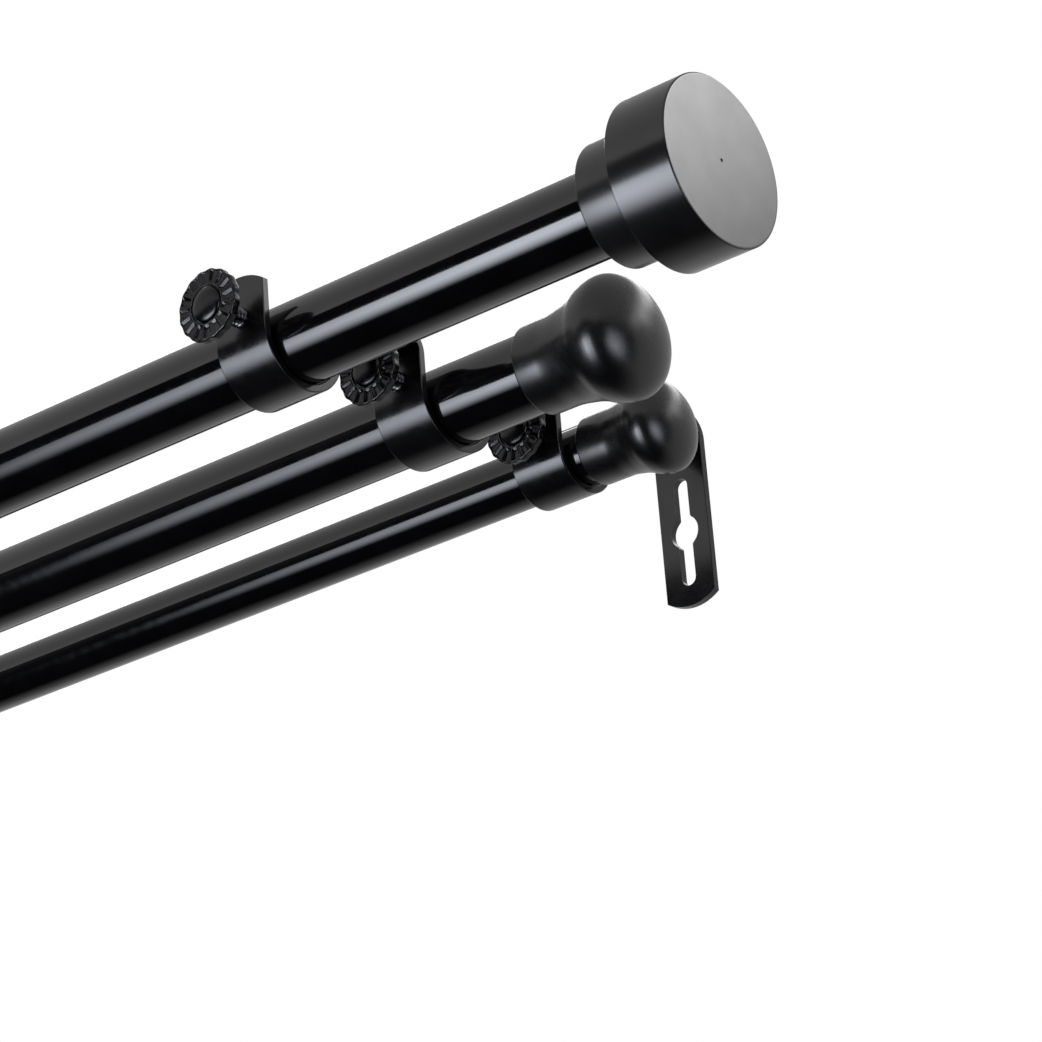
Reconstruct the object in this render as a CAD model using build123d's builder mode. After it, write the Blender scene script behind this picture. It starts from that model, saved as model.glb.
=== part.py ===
from build123d import *
import os
from math import atan2, degrees, sqrt

# Triple curtain rod set: three telescoping rods on two bent-strap wall brackets.
# Millimetres. X runs along the rods, +Y points into the wall, +Z is up.
# The origin is on the wall plane, midway between the brackets, level with the rods.

# ---- driving dimensions ----
bracket_spacing = 460.0
strap_width = 19.5
strap_thickness = 2.5
strap_edge_radius = 0.35
bend_outer_radius = 8.0
bridge_top = 20.5
plate_top = 32.0
tab_top = 18.6
plate_bottom = -32.2
end_arc_radius = 17.0
cup_clearance = 1.4
rod_to_cup_gap = 0.25

keyhole_height = -6.5
keyhole_slot_length = 37.4
keyhole_slot_width = 5.5
keyhole_circle_radius = 5.5
keyhole_corner_radius = 1.2

large_rod_radius = 12.7
large_inner_radius = 11.1
small_rod_radius = 9.525
small_inner_radius = 7.94
tube_wall = 0.8
running_gap = 0.08
end_gap = 0.3

front_y = -195.0
middle_y = -126.6
rear_y = -65.2

screw_height = 6.0
screw_radius = 3.0
screw_tip_gap = 0.25
head_radius = 11.1
head_thickness = 3.0
head_socket_depth = 2.2
hub_radius = 5.4
hub_height = 1.3
scallop_count = 16
scallop_radius = 2.2
scallop_depth = 0.5

plug_length = 18.0
finial_stud_radius = 3.0
finial_stud_depth = 12.0
stud_plug_setback = 4.0  # solid plug left behind the stud
stud_tip_clearance = 1.0  # gap between the stud and the bottom of its hole
cut_overrun = 1.0  # reach of a cutting shape past the surface it cuts
stud_gap = 0.05
guide_length = 15.0
glide_length = 8.0
overlap_length = 120.0

cap_radius = 25.25
cap_length = 20.2
cap_wall = 1.5
cap_edge_radius = 0.7
collar_radius = 18.3
collar_length = 15.8
collar_edge_radius = 0.5
collar_socket_depth = 12.0
collar_hub_radius = 8.0
collar_hub_length = 10.0
knob_socket_depth = 6.0

# Each knob: neck radius, length of the straight neck, points of the flare,
# station and radius of the widest point, and length of the domed end after it.
large_knob = dict(
    neck=14.1, straight=8.0, flare=[(16.0, 15.2), (21.2, 16.7), (25.5, 18.7)],
    widest=(30.5, 19.6), dome=11.0, edge=1.5,
)
small_knob = dict(
    neck=11.2, straight=10.0, flare=[(15.8, 12.1), (19.5, 13.3), (22.6, 14.6)],
    widest=(25.7, 15.1), dome=8.2, edge=1.2,
)

# Each rod: its axis line, tube radii, its right finial's base measured from the bracket's
# centre, the finial's socket depth, how far it telescopes, and the gap between its tab and
# the thumbscrews' heads.
rods = dict(
    front=dict(
        y=front_y, outer=large_rod_radius, inner=large_inner_radius,
        finial_offset=125.8, socket=collar_socket_depth, travel=508.0, knob=None,
        head_to_tab=10.7,
    ),
    middle=dict(
        y=middle_y, outer=large_rod_radius, inner=large_inner_radius,
        finial_offset=42.3, socket=knob_socket_depth, travel=380.0, knob=large_knob,
        head_to_tab=10.7,
    ),
    rear=dict(
        y=rear_y, outer=small_rod_radius, inner=small_inner_radius,
        finial_offset=14.4, socket=knob_socket_depth, travel=330.0, knob=small_knob,
        head_to_tab=6.7,
    ),
)
sides = dict(left=-1, right=1)

os.makedirs("parts", exist_ok=True)


def save(piece, name):
    """Labels a finished piece and writes it as its own STEP file."""
    piece.part.label = name
    export_step(piece.part, f"parts/{name}.step")


def cup_radius(rod):
    """Inner radius of the cup that carries a rod."""
    return rod["outer"] + cup_clearance


def cup_centre(rod):
    """Height of the cup's centre: the rod rests in the bottom of a slightly wider cup."""
    return cup_clearance - rod_to_cup_gap


def bridge(start_y, start_height, end_y, end_height, radius):
    """A bend, a straight run and a second bend, round two centres with the same radius."""
    rise = degrees(atan2(end_height - start_height, end_y - start_y))
    first_bend = CenterArc((start_y, start_height), radius, 180, rise - 90)
    second_bend = CenterArc((end_y, end_height), radius, 90 + rise, -90 - rise)
    Line(first_bend @ 1, second_bend @ 0)


def strap_face(inset):
    """Draws one face of the bent strap in the YZ plane, from the front tab to the wall plate.

    Inset 0 is the face on the rods' side, and inset strap_thickness is the other face."""
    bend_height = bridge_top - bend_outer_radius
    start_height = tab_top
    for rod in rods.values():
        reach = cup_radius(rod)
        front, back = rod["y"] - reach - inset, rod["y"] + reach + inset
        Line((front, start_height), (front, cup_centre(rod)))
        CenterArc((rod["y"], cup_centre(rod)), reach + inset, 180, 180)
        Line((back, cup_centre(rod)), (back, bend_height))
        following = [other for other in rods.values() if other["y"] > rod["y"]]
        if following:
            end_face = following[0]["y"] - cup_radius(following[0])
            end_height = bend_height
        else:
            end_face = 0
            end_height = plate_top - bend_outer_radius
        bridge(
            rod["y"] + reach + bend_outer_radius, bend_height,
            end_face - bend_outer_radius, end_height, bend_outer_radius - inset,
        )
        start_height = end_height
    Line((-inset, start_height), (-inset, plate_bottom))


def arched_end(x, face_y, end_height, up):
    """Cuts one end of the strap to a shallow arc, with up = 1 at a top end and -1 at a bottom end."""
    with BuildSketch(Plane.XZ.offset(-face_y)) as waste:
        with Locations((x, end_height)):
            Rectangle(strap_width + 2 * cut_overrun, end_arc_radius)
        with Locations((x, end_height - up * end_arc_radius)):
            Circle(end_arc_radius, mode=Mode.SUBTRACT)
    extrude(waste.sketch, amount=strap_thickness, both=True, mode=Mode.SUBTRACT)


# ---- brackets ----
for side, sign in sides.items():
    bracket_x = sign * bracket_spacing / 2
    with BuildPart() as bracket:
        with BuildSketch(Plane.YZ.offset(bracket_x - strap_width / 2)):
            with BuildLine():
                strap_face(0)
                strap_face(strap_thickness)
                tab_face = front_y - cup_radius(rods["front"])
                Line((tab_face, tab_top), (tab_face - strap_thickness, tab_top))
                Line((0, plate_bottom), (-strap_thickness, plate_bottom))
            make_face()
        extrude(amount=strap_width)
        fillet(bracket.faces().filter_by(Axis.X).edges(), strap_edge_radius)
        arched_end(bracket_x, tab_face - strap_thickness / 2, tab_top, 1)
        arched_end(bracket_x, -strap_thickness / 2, plate_bottom, -1)
        for rod in rods.values():
            with BuildSketch(Plane.XZ.offset(cup_radius(rod) - rod["y"] - 1)):
                with Locations((bracket_x, screw_height)):
                    Circle(screw_radius + running_gap)
            extrude(amount=strap_thickness + 2, mode=Mode.SUBTRACT)
        with BuildSketch(Plane.XZ.offset(-cut_overrun)) as keyhole:
            with Locations((bracket_x, keyhole_height)):
                SlotOverall(keyhole_slot_length, keyhole_slot_width, rotation=90)
                Circle(keyhole_circle_radius)
            corners = keyhole.vertices().filter_by(
                lambda corner: abs(corner.Y - keyhole_height) < keyhole_circle_radius
            )
            fillet(corners, keyhole_corner_radius)
        extrude(amount=strap_thickness + 2, mode=Mode.SUBTRACT)
    save(bracket, f"bracket_{side}")


def ring(name, y, x_from, x_to, outer, inner):
    """A plain tube or ring along X, between two stations."""
    with BuildPart() as piece:
        with BuildSketch(Plane.YZ.offset(x_from)):
            with Locations((y, 0)):
                Circle(outer)
                Circle(inner, mode=Mode.SUBTRACT)
        extrude(amount=x_to - x_from)
    save(piece, name)


def bar(name, y, x_from, x_to, radius):
    """A plain round bar along X, between two stations."""
    with BuildPart() as piece:
        with BuildSketch(Plane.YZ.offset(x_from)):
            with Locations((y, 0)):
                Circle(radius)
        extrude(amount=x_to - x_from)
    save(piece, name)


def finial_plane(y, base_x, sign):
    """The plane of a finial's profile: x runs outwards from its base, y is the radius."""
    return Plane(origin=(base_x, y, 0), x_dir=(sign, 0, 0), z_dir=(0, 0, sign))


def finial_axis(y):
    """The rod's own axis."""
    return Axis((0, y, 0), (1, 0, 0))


def knob(name, rod, base_x, sign, shape):
    """A bell-shaped knob with a socket for the tube's end and a hole for its stud."""
    neck, edge = shape["neck"], shape["edge"]
    widest_x, widest_radius = shape["widest"]
    socket_radius = rod["outer"] + running_gap
    hole_radius = finial_stud_radius + stud_gap
    hole_end = rod["socket"] + finial_stud_depth
    tip = widest_x + shape["dome"]
    with BuildPart() as piece:
        with BuildSketch(finial_plane(rod["y"], base_x, sign)):
            with BuildLine():
                Line((0, socket_radius), (0, neck - edge / 2))
                Line((0, neck - edge / 2), (edge / 2, neck))
                Line((edge / 2, neck), (shape["straight"], neck))
                Spline(
                    [(shape["straight"], neck), *shape["flare"], (widest_x, widest_radius)],
                    tangents=[(1, 0), (1, 0)],
                )
                EllipticalCenterArc(
                    (widest_x, 0), shape["dome"], widest_radius, start_angle=0, arc_size=90
                )
                Polyline(
                    (tip, 0), (hole_end, 0), (hole_end, hole_radius),
                    (rod["socket"], hole_radius), (rod["socket"], socket_radius),
                    (0, socket_radius),
                )
            make_face()
        revolve(axis=finial_axis(rod["y"]))
    save(piece, name)


def cap_collar(name, rod, base_x, sign):
    """The stepped cap's turned collar: tube socket, back disc inside the cap, and stud hub."""
    socket_radius = rod["outer"] + running_gap
    hole_radius = finial_stud_radius + stud_gap
    disc_end = collar_length + cap_wall
    hub_end = disc_end + collar_hub_length
    hole_end = rod["socket"] + finial_stud_depth
    with BuildPart() as piece:
        with BuildSketch(finial_plane(rod["y"], base_x, sign)):
            with BuildLine():
                Polyline(
                    (0, socket_radius), (0, collar_radius - collar_edge_radius),
                    (collar_edge_radius, collar_radius), (collar_length, collar_radius),
                    (collar_length, cap_radius - cap_wall), (disc_end, cap_radius - cap_wall),
                    (disc_end, collar_hub_radius), (hub_end, collar_hub_radius), (hub_end, 0),
                    (hole_end, 0), (hole_end, hole_radius), (rod["socket"], hole_radius),
                    (rod["socket"], socket_radius), (0, socket_radius),
                )
            make_face()
        revolve(axis=finial_axis(rod["y"]))
    save(piece, name)


def cap_shell(name, rod, base_x, sign):
    """The stepped cap's drawn shell: a flat round face and a rim, open at the back."""
    back, face = collar_length, collar_length + cap_length
    with BuildPart() as piece:
        with BuildSketch(finial_plane(rod["y"], base_x, sign)):
            with BuildLine():
                Polyline(
                    (back, cap_radius - cap_wall), (back, cap_radius),
                    (face - cap_edge_radius, cap_radius),
                )
                RadiusArc(
                    (face - cap_edge_radius, cap_radius), (face, cap_radius - cap_edge_radius),
                    cap_edge_radius,
                )
                Polyline(
                    (face, cap_radius - cap_edge_radius), (face, 0), (face - cap_wall, 0),
                    (face - cap_wall, cap_radius - cap_wall), (back, cap_radius - cap_wall),
                )
            make_face()
        revolve(axis=finial_axis(rod["y"]))
    save(piece, name)


def end_fittings(rod_name, side, rod, base_x, sign, bore):
    """The plug pressed into a tube's end, its stud, and the finial screwed onto it."""
    tube_end = base_x + sign * rod["socket"]
    plug_end = tube_end - sign * plug_length
    stud_start = tube_end - sign * (plug_length - stud_plug_setback)
    stud_end = tube_end + sign * (finial_stud_depth - stud_tip_clearance)
    ring(
        f"{rod_name}_{side}_plug", rod["y"], min(tube_end, plug_end), max(tube_end, plug_end),
        bore, finial_stud_radius + stud_gap,
    )
    bar(
        f"{rod_name}_{side}_finial_stud", rod["y"], min(stud_start, stud_end),
        max(stud_start, stud_end), finial_stud_radius,
    )
    if rod["knob"]:
        knob(f"{rod_name}_{side}_knob", rod, base_x, sign, rod["knob"])
    else:
        cap_collar(f"{rod_name}_{side}_collar", rod, base_x, sign)
        cap_shell(f"{rod_name}_{side}_cap", rod, base_x, sign)


# ---- rods ----
for rod_name, rod in rods.items():
    base = bracket_spacing / 2 + rod["finial_offset"]
    bore = rod["outer"] - tube_wall
    outer_left = -base + end_gap
    ring(f"{rod_name}_outer_tube", rod["y"], outer_left, base + rod["socket"], rod["outer"], bore)
    end_fittings(rod_name, "right", rod, base, 1, bore)
    ring(
        f"{rod_name}_guide_sleeve", rod["y"], outer_left, outer_left + guide_length,
        bore, rod["inner"] + running_gap,
    )
    inner_left = -base - rod["socket"]
    inner_right = -base + rod["travel"] + overlap_length
    ring(
        f"{rod_name}_inner_tube", rod["y"], inner_left, inner_right,
        rod["inner"], rod["inner"] - tube_wall,
    )
    ring(
        f"{rod_name}_glide_ring", rod["y"], inner_right - glide_length, inner_right,
        bore - running_gap, rod["inner"],
    )
    ring(
        f"{rod_name}_left_adapter", rod["y"], inner_left, -base,
        rod["outer"], rod["inner"],
    )
    end_fittings(rod_name, "left", rod, -base, -1, rod["inner"] - tube_wall)


# ---- thumbscrews ----
for rod_name, rod in rods.items():
    tab_front = rod["y"] - cup_radius(rod) - strap_thickness
    lower_edge = screw_height - screw_radius
    tip = rod["y"] - sqrt(rod["outer"] ** 2 - lower_edge**2) - screw_tip_gap
    head_back = tab_front - rod["head_to_tab"]
    head_front = head_back - head_thickness
    for side, sign in sides.items():
        screw_x = sign * bracket_spacing / 2
        with BuildPart() as screw_stud:
            with BuildSketch(Plane.XZ.offset(-tip)):
                with Locations((screw_x, screw_height)):
                    Circle(screw_radius)
            extrude(amount=tip - head_back + head_socket_depth - stud_gap)
        save(screw_stud, f"{rod_name}_{side}_screw_stud")

        with BuildPart() as screw_head:
            with BuildSketch(Plane.XZ.offset(-head_back)):
                with Locations((screw_x, screw_height)):
                    Circle(head_radius)
                    with PolarLocations(head_radius + scallop_radius - scallop_depth, scallop_count):
                        Circle(scallop_radius, mode=Mode.SUBTRACT)
            extrude(amount=head_thickness)
            with BuildSketch(Plane.XZ.offset(-head_front)):
                with Locations((screw_x, screw_height)):
                    Circle(hub_radius)
            extrude(amount=hub_height)
            with BuildSketch(Plane.XZ.offset(-head_back)):
                with Locations((screw_x, screw_height)):
                    Circle(screw_radius + running_gap)
            extrude(amount=head_socket_depth, mode=Mode.SUBTRACT)
        save(screw_head, f"{rod_name}_{side}_screw_head")
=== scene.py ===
from math import cos, pi, radians, sin

import bpy
from mathutils import Matrix, Vector


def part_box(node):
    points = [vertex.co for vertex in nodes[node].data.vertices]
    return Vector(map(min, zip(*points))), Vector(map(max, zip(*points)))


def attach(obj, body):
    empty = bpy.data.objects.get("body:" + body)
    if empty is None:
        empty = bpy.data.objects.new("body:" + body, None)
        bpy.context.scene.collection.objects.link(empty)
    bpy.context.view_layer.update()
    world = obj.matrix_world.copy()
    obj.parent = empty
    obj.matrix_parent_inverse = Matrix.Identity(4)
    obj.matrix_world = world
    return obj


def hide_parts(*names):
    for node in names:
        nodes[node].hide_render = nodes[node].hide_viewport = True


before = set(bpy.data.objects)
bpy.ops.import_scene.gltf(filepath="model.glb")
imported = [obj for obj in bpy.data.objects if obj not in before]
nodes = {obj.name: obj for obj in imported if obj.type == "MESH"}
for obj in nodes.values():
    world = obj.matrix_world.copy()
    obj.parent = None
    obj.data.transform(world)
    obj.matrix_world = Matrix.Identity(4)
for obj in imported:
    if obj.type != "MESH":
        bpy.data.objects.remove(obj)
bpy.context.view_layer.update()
MM = 0.001


# ---------------------------------------------------------------- materials
def material(name):
    """A new node material: its tree and its Principled shader come with it."""
    mat = bpy.data.materials.new(name)
    mat.use_nodes = True
    return mat, mat.node_tree, mat.node_tree.nodes["Principled BSDF"]


def object_coords(tree):
    return tree.nodes.new("ShaderNodeTexCoord").outputs["Object"]


def noise(tree, coords, scale, detail=3.0, roughness=0.5):
    node = tree.nodes.new("ShaderNodeTexNoise")
    node.inputs["Scale"].default_value = scale
    node.inputs["Detail"].default_value = detail
    node.inputs["Roughness"].default_value = roughness
    tree.links.new(coords, node.inputs["Vector"])
    return node.outputs["Fac"]


def ramp(tree, factor, stops):
    """A colour ramp from (position, value or colour) stops."""
    node = tree.nodes.new("ShaderNodeValToRGB")
    elements = node.color_ramp.elements
    while len(elements) < len(stops):
        elements.new(0.5)
    for element, (position, value) in zip(elements, stops):
        colour = value if hasattr(value, "__len__") else (value, value, value)
        element.position = position
        element.color = (*colour, 1.0)
    tree.links.new(factor, node.inputs["Fac"])
    return node.outputs["Color"]


def mix(tree, factor, first, second):
    """Two colours blended by a factor."""
    node = tree.nodes.new("ShaderNodeMix")
    node.data_type = "RGBA"
    tree.links.new(factor, node.inputs["Factor"])
    for socket, value in (("A", first), ("B", second)):
        target = next(i for i in node.inputs if i.name == socket and i.type == "RGBA")
        if hasattr(value, "is_output"):
            tree.links.new(value, target)
        else:
            target.default_value = (*value, 1.0)
    return next(o for o in node.outputs if o.type == "RGBA")


def bump(tree, shader, height, distance, below=None):
    """A bump layer, on top of an earlier one if there is one."""
    node = tree.nodes.new("ShaderNodeBump")
    node.inputs["Distance"].default_value = distance
    tree.links.new(height, node.inputs["Height"])
    if below:
        tree.links.new(below, node.inputs["Normal"])
    tree.links.new(node.outputs["Normal"], shader.inputs["Normal"])
    return node.outputs["Normal"]


def edge_mask(tree, radius):
    """1 along sharp edges and 0 on open surfaces, from how far a bevelled normal turns away."""
    bevel = tree.nodes.new("ShaderNodeBevel")
    bevel.samples = 6
    bevel.inputs["Radius"].default_value = radius
    surface = tree.nodes.new("ShaderNodeNewGeometry")
    dot = tree.nodes.new("ShaderNodeVectorMath")
    dot.operation = "DOT_PRODUCT"
    tree.links.new(bevel.outputs["Normal"], dot.inputs[0])
    tree.links.new(surface.outputs["Normal"], dot.inputs[1])
    return ramp(tree, dot.outputs["Value"], [(0.75, 1.0), (0.97, 0.0)])


def coated(name, dark, light, rough, grain, peel=None, edge_wear_and_sheen=None, metallic=0.0):
    """Paint, powder coat, plating or plastic: mottled colour, uneven gloss, grain and lighter, scuffed
    edges, which on the screw heads are also a painted highlight.

    grain and peel are (scale, depth) of the fine and the broad relief, and the edge colour is painted along
    sharp edges: real scuffing, and on the screw heads also a painted highlight along the rim and flute
    ridges."""
    mat, tree, shader = material(name)
    coords = object_coords(tree)
    colour = ramp(tree, noise(tree, coords, 60, 5), [(0.3, dark), (0.75, light)])
    gloss = ramp(tree, noise(tree, coords, 240, 4, 0.6), [(0.3, rough[0]), (0.7, rough[1])])
    # A lighter colour along sharp edges, broken up by noise: real scuffing, and on the screw heads also a
    # painted highlight.
    if edge_wear_and_sheen:
        rubbed = ramp(tree, noise(tree, coords, 500, 4, 0.65), [(0.42, 0.0), (0.6, 1.0)])
        wear_and_sheen_mask = mix(tree, edge_mask(tree, 0.0004), (0.0, 0.0, 0.0), rubbed)
        colour = mix(tree, wear_and_sheen_mask, colour, edge_wear_and_sheen)
    tree.links.new(colour, shader.inputs["Base Color"])
    tree.links.new(gloss, shader.inputs["Roughness"])
    broad = bump(tree, shader, noise(tree, coords, peel[0], 1), peel[1]) if peel else None
    bump(tree, shader, noise(tree, coords, grain[0], 2), grain[1], broad)
    shader.inputs["Metallic"].default_value = metallic
    return mat


def turned(name, dark, light, rough, pitch, depth, metallic=0.0):
    """A lathe-turned finish: fine rings round the piece's own Z axis over a mottled coat."""
    mat, tree, shader = material(name)
    coords = object_coords(tree)
    colour = ramp(tree, noise(tree, coords, 90, 5), [(0.3, dark), (0.75, light)])
    tree.links.new(colour, shader.inputs["Base Color"])
    rings = tree.nodes.new("ShaderNodeTexWave")
    rings.wave_type = "RINGS"
    rings.rings_direction = "Z"
    rings.inputs["Scale"].default_value = 0.314 / pitch
    rings.inputs["Distortion"].default_value = 0.6
    rings.inputs["Detail"].default_value = 3.0
    tree.links.new(coords, rings.inputs["Vector"])
    gloss = ramp(tree, rings.outputs["Fac"], [(0.0, rough[0]), (1.0, rough[1])])
    tree.links.new(gloss, shader.inputs["Roughness"])
    first = bump(tree, shader, rings.outputs["Fac"], depth)
    bump(tree, shader, noise(tree, coords, 1700, 2), depth * 1.5, first)
    shader.inputs["Metallic"].default_value = metallic
    return mat


gloss_black = coated(
    "rod_gloss_black", (0.0012, 0.0012, 0.0014), (0.0022, 0.0022, 0.0025), (0.07, 0.12),
    grain=(900, 1.5e-6), peel=(160, 4e-6),
)
satin_black = coated(
    "knob_satin_black", (0.0014, 0.0014, 0.0016), (0.0035, 0.0035, 0.0037), (0.25, 0.31),
    grain=(2200, 4e-6), peel=(300, 5e-6),
)
powder_black = coated(
    "bracket_powder_coat", (0.002, 0.002, 0.0022), (0.004, 0.004, 0.0044), (0.15, 0.22),
    grain=(2400, 3.5e-6), peel=(600, 5e-6), edge_wear_and_sheen=(0.07, 0.068, 0.066),
)
cap_dark = turned(
    "cap_satin_dark", (0.003, 0.003, 0.003), (0.006, 0.006, 0.006), (0.2, 0.27),
    pitch=0.00045, depth=1e-6,
)
cap_face = turned(
    "cap_brushed_face", (0.125, 0.125, 0.126), (0.145, 0.145, 0.146), (0.14, 0.19),
    pitch=0.00045, depth=6e-7, metallic=1.0,
)
# The light edge colour on the screw heads is partly real scuffing of the oxide and partly a painted
# highlight along the rim and flute ridges.
dark_oxide = coated(
    "screw_dark_oxide", (0.02, 0.02, 0.021), (0.045, 0.045, 0.047), (0.18, 0.32),
    grain=(2600, 8e-6), edge_wear_and_sheen=(0.4, 0.4, 0.41), metallic=1.0,
)
thread_steel = coated(
    "thread_dark_steel", (0.1, 0.1, 0.105), (0.2, 0.2, 0.21), (0.18, 0.3),
    grain=(2600, 4e-6), edge_wear_and_sheen=(0.5, 0.5, 0.52), metallic=1.0,
)
zinc = coated(
    "stud_zinc_steel", (0.5, 0.5, 0.52), (0.62, 0.62, 0.64), (0.25, 0.4),
    grain=(1800, 1e-5), metallic=1.0,
)
black_plastic = coated(
    "moulded_black_plastic", (0.008, 0.008, 0.008), (0.014, 0.014, 0.014), (0.45, 0.6),
    grain=(1600, 2e-5),
)
pale_nylon = coated(
    "moulded_pale_nylon", (0.6, 0.59, 0.55), (0.7, 0.69, 0.65), (0.4, 0.55), grain=(1600, 2e-5),
)

NODE_MATERIALS = (
    ("bracket", powder_black),
    ("outer_tube", gloss_black),
    ("inner_tube", gloss_black),
    ("guide_sleeve", black_plastic),
    ("left_adapter", black_plastic),
    ("glide_ring", pale_nylon),
    ("plug", pale_nylon),
    ("finial_stud", zinc),
    ("knob", satin_black),
    ("collar", cap_dark),
    ("cap", cap_dark),
    ("screw", dark_oxide),
)
for name, node in nodes.items():
    chosen = next(mat for key, mat in NODE_MATERIALS if key in name)
    node.data.materials.clear()
    node.data.materials.append(chosen)


# ---------------------------------------------------------------- turned pieces
ALONG_X = Matrix(((0, 0, 1), (0, 1, 0), (-1, 0, 0))).to_4x4()
AGAINST_X = Matrix(((0, 0, -1), (0, 1, 0), (1, 0, 0))).to_4x4()
AGAINST_Y = Matrix(((1, 0, 0), (0, 0, -1), (0, 1, 0))).to_4x4()


def swept(name, mat, place, axis, rings, steps, radius_at, closed=False, sharp=32):
    """A surface of rings round the local Z axis.

    rings holds one (height, radius) pair per ring, and radius_at(height, radius, angle) gives
    the point's own height and radius, so flutes, scallops and threads are modelled in."""
    verts, faces = [], []
    for height, radius in rings:
        for step in range(steps):
            angle = 2 * pi * step / steps
            z, r = radius_at(height, radius, angle)
            verts.append((r * cos(angle), r * sin(angle), z))
    rows = len(rings)
    for row in range(rows if closed else rows - 1):
        for step in range(steps):
            here, there = row * steps, (row + 1) % rows * steps
            following = (step + 1) % steps
            faces.append((here + step, here + following, there + following, there + step))
    if not closed:
        faces.append(tuple(reversed(range(steps))))
        faces.append(tuple((rows - 1) * steps + step for step in range(steps)))
    mesh = bpy.data.meshes.new(name)
    mesh.from_pydata(verts, [], faces)
    mesh.materials.append(mat)
    mesh.polygons.foreach_set("use_smooth", [True] * len(mesh.polygons))
    mesh.set_sharp_from_angle(angle=radians(sharp))
    obj = bpy.data.objects.new(name, mesh)
    bpy.context.scene.collection.objects.link(obj)
    obj.matrix_world = Matrix.Translation(place) @ axis
    return obj


def plain(height, radius, angle):
    return height, radius


def rounded(rings, centre, radius, start, end, count=6):
    """Adds an arc of rings, from the angle start to end in degrees, measured from the outward radius."""
    for i in range(count + 1):
        angle = radians(start + (end - start) * i / count)
        rings.append((centre[0] + radius * sin(angle), centre[1] + radius * cos(angle)))


def stands_for(obj, body, slot, *cad_nodes):
    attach(obj, body)
    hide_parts(*cad_nodes)


def smooth_curve(points, count):
    """Points on a Catmull-Rom curve through the given ones, level at both ends."""
    (x0, r0), (x1, r1), (x2, r2), (x3, r3) = *points[:2], *points[-2:]
    ends = [(2 * x0 - x1, r1), *points, (2 * x3 - x2, r2)]
    result = []
    for i in range(1, len(ends) - 2):
        a, b, c, d = ends[i - 1 : i + 3]
        for k in range(count):
            t = k / count
            result.append(tuple(
                0.5 * (2 * q + (r - p) * t + (2 * p - 5 * q + 4 * r - s) * t**2
                       + (3 * q - p - 3 * r + s) * t**3)
                for p, q, r, s in zip(a, b, c, d)
            ))
    return result


# ---- thumbscrews: fluted, scalloped heads on threaded studs ----
FLUTES = 16
PITCH = 1.27 * MM


def head_point(height, radius, angle):
    """Shallow scallops round the rim, and wedge-shaped flutes with thin ridges on the front."""
    hollow = 1 - abs(sin(FLUTES * angle / 2)) ** 5
    if 6.2 * MM < radius < 10.7 * MM and height > 2.2 * MM:
        slope = min(1, (radius - 6.2 * MM) / (0.8 * MM), (10.7 * MM - radius) / (0.5 * MM))
        height -= 0.6 * MM * hollow * slope
    if radius > 10.0 * MM:
        radius -= 0.35 * MM * (0.5 + 0.5 * cos(FLUTES * angle)) * (radius - 10.0 * MM) / (1.1 * MM)
    return height, radius


def screw_head_rings(depth):
    """From the bored back, round the rim and over the grooved front to the domed hub."""
    rings = [(0.3 * MM, 3.1 * MM), (0.0, 3.4 * MM), (0.0, 9.6 * MM)]
    rounded(rings, (0.7 * MM, 10.4 * MM), 0.7 * MM, -90, 0, 5)
    rounded(rings, (2.3 * MM, 10.4 * MM), 0.7 * MM, 0, 90, 5)
    rings += [(3.0 * MM, r * MM) for r in (10.2, 10.0, 9.6, 9.0, 8.4, 7.8, 7.2, 6.8, 6.5, 6.2)]
    rings += [(3.0 * MM, 6.0 * MM), (2.5 * MM, 5.8 * MM), (2.45 * MM, 5.5 * MM), (2.9 * MM, 5.3 * MM)]
    for i in range(1, 13):
        angle = radians(90 * i / 12)
        rings.append((2.9 * MM + (depth - 2.9 * MM) * sin(angle), 5.25 * MM * cos(angle) + 0.01 * MM))
    return rings


def thread_point(height, radius, angle):
    """A right-hand thread with flat crests and roots."""
    phase = (height / PITCH - angle / (2 * pi)) % 1.0
    ridge = min(1.0, max(0.0, (0.5 - abs(phase - 0.5)) * 3.2 - 0.25))
    return height, min(radius, 2.36 * MM + 0.64 * MM * ridge)


for rod_name in ("front", "middle", "rear"):
    for side in ("left", "right"):
        label = f"{rod_name}_{side}_screw"
        low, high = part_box(f"{label}_head")
        middle_x, middle_z = (low.x + high.x) / 2, (low.z + high.z) / 2
        head = swept(
            f"{label}_fluted_head", dark_oxide, (middle_x, high.y, middle_z), AGAINST_Y,
            screw_head_rings(high.y - low.y), 256, head_point, sharp=60,
        )
        stands_for(head, f"{label}_turn", "screw_dark_metal", f"{label}_head")
        low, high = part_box(f"{label}_stud")
        length = high.y - low.y
        rings = [(0.0, 1.9 * MM), (0.5 * MM, 2.5 * MM)]
        count = round((length - 1.0 * MM) / (PITCH / 14))
        rings += [(0.5 * MM + i * (length - 0.5 * MM) / count, 3.0 * MM) for i in range(1, count + 1)]
        stud = swept(
            f"{label}_thread", thread_steel, (middle_x, high.y, middle_z), AGAINST_Y,
            rings, 64, thread_point, sharp=75,
        )
        stands_for(stud, f"{label}_turn", "screw_dark_metal", f"{label}_stud")


# ---- finials ----
def knob_rings(neck, straight, flare, widest, dome, bore, depth):
    """From the socket's floor, out over the base's lip, along the flare and round the dome."""
    rings = [(depth, 3.2), (depth, bore), (0.3, bore), (0.0, bore + 0.3)]
    rounded(rings, (0.6, neck - 0.6), 0.6, -90, 0)
    curve = [(straight, neck), *flare, widest]
    rings += smooth_curve(curve, 8)
    for i in range(25):
        angle = radians(90 * i / 24)
        rings.append((widest[0] + dome * sin(angle), widest[1] * cos(angle) + 0.02))
    return [(z * MM, r * MM) for z, r in rings]


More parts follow.
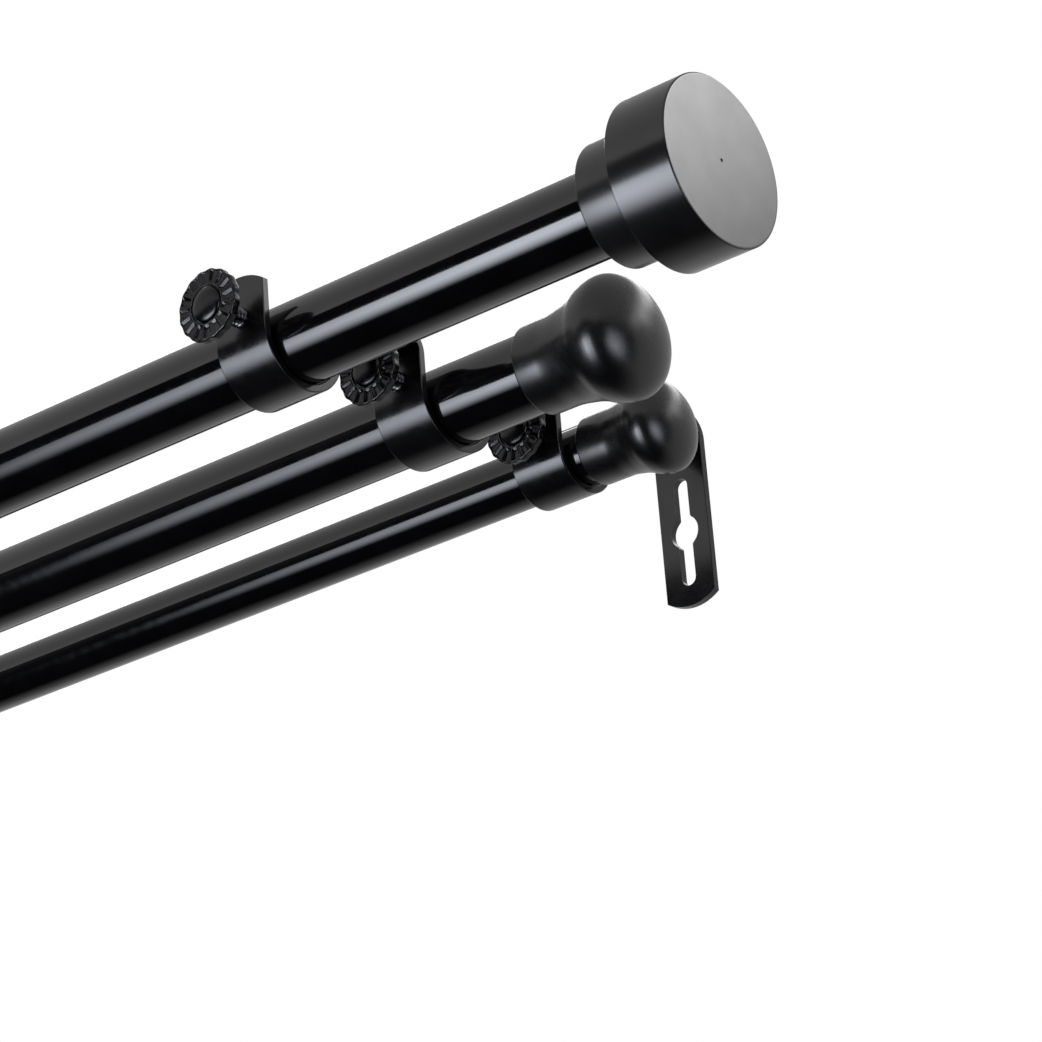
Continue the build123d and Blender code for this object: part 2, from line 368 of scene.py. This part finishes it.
def cap_rings(start, end, radius, wall):
    """A drawn shell: its inside, its rolled rim, its side and a flat face with a small centre dimple."""
    rings = [(end - wall, 0.3), (end - wall, radius - wall), (start + 0.2, radius - wall)]
    rings += [(start, radius - wall + 0.2), (start, radius - 0.4), (start + 0.4, radius)]
    rounded(rings, (end - 0.5, radius - 0.5), 0.5, 0, 90, 8)
    rings += [(end, r) for r in (radius - 0.8, 20.0, 15.0, 10.0, 5.0, 1.0, 0.62, 0.56)]
    rings += [(end - 0.08, 0.5), (end - 0.2, 0.42), (end - 0.35, 0.22), (end - 0.4, 0.02)]
    return [(z * MM, r * MM) for z, r in rings]


def collar_rings(bore, depth, radius, length, back_radius, wall, hub_radius, hub_end):
    """The tube socket, the turned side with its lip, the back disc and the hub."""
    rings = [(depth, 3.2), (depth, bore), (0.3, bore), (0.0, bore + 0.3)]
    rounded(rings, (0.5, radius - 0.5), 0.5, -90, 0)
    rings += [(length - 0.9, radius), (length - 0.7, radius - 0.6), (length, radius - 0.6)]
    rings += [(length, back_radius - 0.2)]
    rings += [(length + 0.2, back_radius), (length + wall, back_radius), (length + wall, hub_radius)]
    rings += [(hub_end - 0.4, hub_radius), (hub_end, hub_radius - 0.4), (hub_end, 3.2)]
    return [(z * MM, r * MM) for z, r in rings]


KNOBS = dict(
    middle=dict(
        neck=14.1, straight=8.0, flare=[(16.0, 15.2), (21.2, 16.7), (25.5, 18.7)],
        widest=(30.5, 19.6), dome=11.0, bore=12.78, depth=6.0,
    ),
    rear=dict(
        neck=11.2, straight=10.0, flare=[(15.8, 12.1), (19.5, 13.3), (22.6, 14.6)],
        widest=(25.7, 15.1), dome=8.2, bore=9.6, depth=6.0,
    ),
)
for side, axis, body in (("left", AGAINST_X, "slider"), ("right", ALONG_X, "frame")):
    for rod_name, shape in KNOBS.items():
        node = f"{rod_name}_{side}_knob"
        low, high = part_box(node)
        base = (high.x if side == "left" else low.x, (low.y + high.y) / 2, (low.z + high.z) / 2)
        piece = swept(
            f"{node}_turned", satin_black, base, axis, knob_rings(**shape), 160, plain, closed=True,
        )
        stands_for(piece, body if body == "frame" else f"{rod_name}_slider", "knob_satin_black", node)
    node = f"front_{side}_collar"
    low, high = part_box(node)
    base = (high.x if side == "left" else low.x, (low.y + high.y) / 2, (low.z + high.z) / 2)
    collar = swept(
        f"{node}_turned", cap_dark, base, axis,
        collar_rings(12.78, 12.0, 18.3, 15.8, 23.75, 1.5, 8.0, 27.3), 192, plain, closed=True,
    )
    stands_for(collar, body if body == "frame" else "front_slider", "finial_gunmetal", node)
    cap = swept(
        f"front_{side}_cap_drawn", cap_dark, base, axis, cap_rings(15.8, 36.0, 25.25, 1.5), 192, plain,
    )
    cap.data.materials.append(cap_face)
    for face in cap.data.polygons:
        if face.center.z > 35.9 * MM and face.normal.z > 0.9:
            face.material_index = 1
    stands_for(cap, body if body == "frame" else "front_slider", "finial_gunmetal", f"front_{side}_cap")


# ---------------------------------------------------------------- stage, light and camera
def emitter(name, strength=1.0):
    """An emission material, with its tree and its emission node."""
    mat = bpy.data.materials.new(name)
    mat.use_nodes = True
    tree = mat.node_tree
    tree.nodes.clear()
    out = tree.nodes.new("ShaderNodeOutputMaterial")
    glow = tree.nodes.new("ShaderNodeEmission")
    glow.inputs["Strength"].default_value = strength
    tree.links.new(glow.outputs["Emission"], out.inputs["Surface"])
    return mat, tree, glow


def panel(name, corners, mat):
    """A flat stage panel with UV corners (0,0), (1,0), (1,1) and (0,1)."""
    mesh = bpy.data.meshes.new(name)
    mesh.from_pydata([tuple(c) for c in corners], [], [(0, 1, 2, 3)])
    uv = mesh.uv_layers.new(name="UVMap")
    for loop, value in zip(uv.data, ((0, 0), (1, 0), (1, 1), (0, 1))):
        loop.uv = value
    mesh.materials.append(mat)
    obj = bpy.data.objects.new(name, mesh)
    bpy.context.scene.collection.objects.link(obj)
    return obj


def light_panel(name, corners, mat):
    """A panel that lights the object and shows in its reflections, but not to the camera."""
    obj = panel(name, corners, mat)
    obj.visible_camera = False
    obj.visible_shadow = False
    obj.visible_transmission = False
    return obj


def uv_axis(tree, axis):
    split = tree.nodes.new("ShaderNodeSeparateXYZ")
    tree.links.new(tree.nodes.new("ShaderNodeTexCoord").outputs["UV"], split.inputs["Vector"])
    return split.outputs[axis]


def softbox(name, centre, towards, half_u, half_v, strength, across, upward, tint=(1, 1, 1)):
    """A panel that faces a point, with its light ramped across and up its face."""
    mat, tree, glow = emitter(name + "_glow", strength)
    product = tree.nodes.new("ShaderNodeMath")
    product.operation = "MULTIPLY"
    tree.links.new(ramp(tree, uv_axis(tree, "X"), across), product.inputs[0])
    tree.links.new(ramp(tree, uv_axis(tree, "Y"), upward), product.inputs[1])
    tree.links.new(mix(tree, product.outputs["Value"], (0, 0, 0), tint), glow.inputs["Color"])
    facing = (Vector(towards) - Vector(centre)).normalized()
    side = facing.cross(Vector((0, 0, 1))).normalized()
    u, v, c = side * half_u, side.cross(facing) * half_v, Vector(centre)
    light_panel(name, [c - u - v, c + u - v, c + u + v, c - u + v], mat)


# The ends of the long panels along the rods, and the height and depth of the sweep.
PANEL_LEFT = -4
PANEL_RIGHT = 3
PANEL_TOP = 1.0
SWEEP_LOW = -0.85
SWEEP_BACK = 1.2

# A long overhead panel, brighter at the front and in a strip over the wall side.
mat, tree, glow = emitter("overhead_glow")
stops = [(0.0, 1.2), (0.35, 0.72), (0.76, 0.5), (0.78, 4.0), (0.84, 4.0), (0.86, 0.5)]
tree.links.new(ramp(tree, uv_axis(tree, "Y"), stops), glow.inputs["Strength"])
light_panel("overhead_panel", [
    (PANEL_LEFT, -2.8, PANEL_TOP), (PANEL_RIGHT, -2.8, PANEL_TOP),
    (PANEL_RIGHT, 2.0, PANEL_TOP), (PANEL_LEFT, 2.0, PANEL_TOP),
], mat)

# The key softbox, low in front, makes the strip along each rod: crisp above, soft below.
softbox(
    "key_panel", (-0.45, -1.454, -0.704), (-0.45, -0.13, 0.0), 0.95, 0.55, 14.0,
    across=[(0.06, 0.0), (0.17, 0.3), (0.28, 0.55), (0.4, 1.0), (1.0, 0.5)],
    upward=[(0.0, 0.0), (0.15, 0.2), (0.35, 0.6), (0.6, 0.95), (0.95, 0.9), (1.0, 0.3)],
    tint=(0.86, 0.9, 1.0),
)

# A small softbox for the cap's flat face, and a low one for the domes of the knobs.
softbox(
    "face_panel", (1.16, 0.94, 0.7), (0.38, -0.195, 0.0), 0.21, 0.21, 4.8,
    across=[(0.0, 1.0), (0.4, 1.0), (0.6, 0.7), (1.0, 0.3)],
    upward=[(0.0, 0.1), (0.35, 0.3), (0.6, 0.8), (0.75, 1.0), (1.0, 1.0)],
)
softbox(
    "dome_panel", (1.7, -0.36, -0.25), (0.28, -0.12, 0.0), 0.6, 0.5, 5.5,
    across=[(0.0, 0.0), (0.4, 1.0), (0.6, 1.0), (1.0, 0.0)],
    upward=[(0.0, 0.0), (0.4, 1.0), (0.6, 1.0), (1.0, 0.0)],
    tint=(0.86, 0.9, 1.0),
)

# The sweep behind and below, fading to dark under the rods.
mat, tree, glow = emitter("sweep_glow")
tree.links.new(ramp(tree, uv_axis(tree, "Y"), [(0.0, 0.0), (0.3, 0.3), (1.0, 0.7)]), glow.inputs["Strength"])
light_panel("sweep_low", [
    (PANEL_LEFT, 0.05, SWEEP_LOW), (PANEL_RIGHT, 0.05, SWEEP_LOW),
    (PANEL_RIGHT, SWEEP_BACK, SWEEP_LOW), (PANEL_LEFT, SWEEP_BACK, SWEEP_LOW),
], mat)
mat, tree, glow = emitter("back_glow", 0.65)
light_panel("sweep_back", [
    (PANEL_LEFT, SWEEP_BACK, SWEEP_LOW), (PANEL_RIGHT, SWEEP_BACK, SWEEP_LOW),
    (PANEL_RIGHT, SWEEP_BACK, PANEL_TOP), (PANEL_LEFT, SWEEP_BACK, PANEL_TOP),
], mat)

# A white surround that only the camera sees.
SURROUND_RADIUS = 42
mat, tree, glow = emitter("surround_white")
bpy.ops.mesh.primitive_uv_sphere_add(radius=SURROUND_RADIUS, segments=48, ring_count=24)
dome = bpy.context.object
dome.name = "surround"
dome.data.materials.append(mat)
for ray in ("diffuse", "glossy", "transmission", "shadow", "volume_scatter"):
    setattr(dome, "visible_" + ray, False)

# The pale floor.
floor_mat, tree, shader = material("floor_pale")
shader.inputs["Base Color"].default_value = (0.05, 0.05, 0.05, 1)
shader.inputs["Roughness"].default_value = 0.9
shader.inputs["Emission Color"].default_value = (1, 1, 1, 1)
shader.inputs["Emission Strength"].default_value = 0.68
FLOOR_REACH = 28
FLOOR_HEIGHT = -2.4
corners = [(-1, -1), (1, -1), (1, 1), (-1, 1)]
floor = panel("floor", [(x * FLOOR_REACH, y * FLOOR_REACH, FLOOR_HEIGHT) for x, y in corners], floor_mat)
floor.visible_glossy = False
floor.visible_diffuse = False

world = bpy.data.worlds.new("world")
world.use_nodes = True
world.node_tree.nodes["Background"].inputs["Color"].default_value = (0.0, 0.0, 0.0, 1)
bpy.context.scene.world = world
bpy.context.scene.view_settings.view_transform = "Standard"

# The camera's place, and its right, down and forward directions.
CAMERA_PLACE = Vector((0.91641, -0.96053, -0.46988))
CAMERA_RIGHT = Vector((0.764964, 0.639775, -0.074281))
CAMERA_DOWN = Vector((-0.292158, 0.241898, -0.925272))
CAMERA_FORWARD = Vector((-0.573997, 0.729502, 0.371959))
data = bpy.data.cameras.new("camera")
data.sensor_width = 36.0
data.lens = 133.88
data.clip_end = 120.0
camera = bpy.data.objects.new("camera", data)
bpy.context.scene.collection.objects.link(camera)
turn = Matrix((CAMERA_RIGHT, -CAMERA_DOWN, -CAMERA_FORWARD)).transposed().to_4x4()
camera.matrix_world = Matrix.Translation(CAMERA_PLACE) @ turn
bpy.context.scene.camera = camera
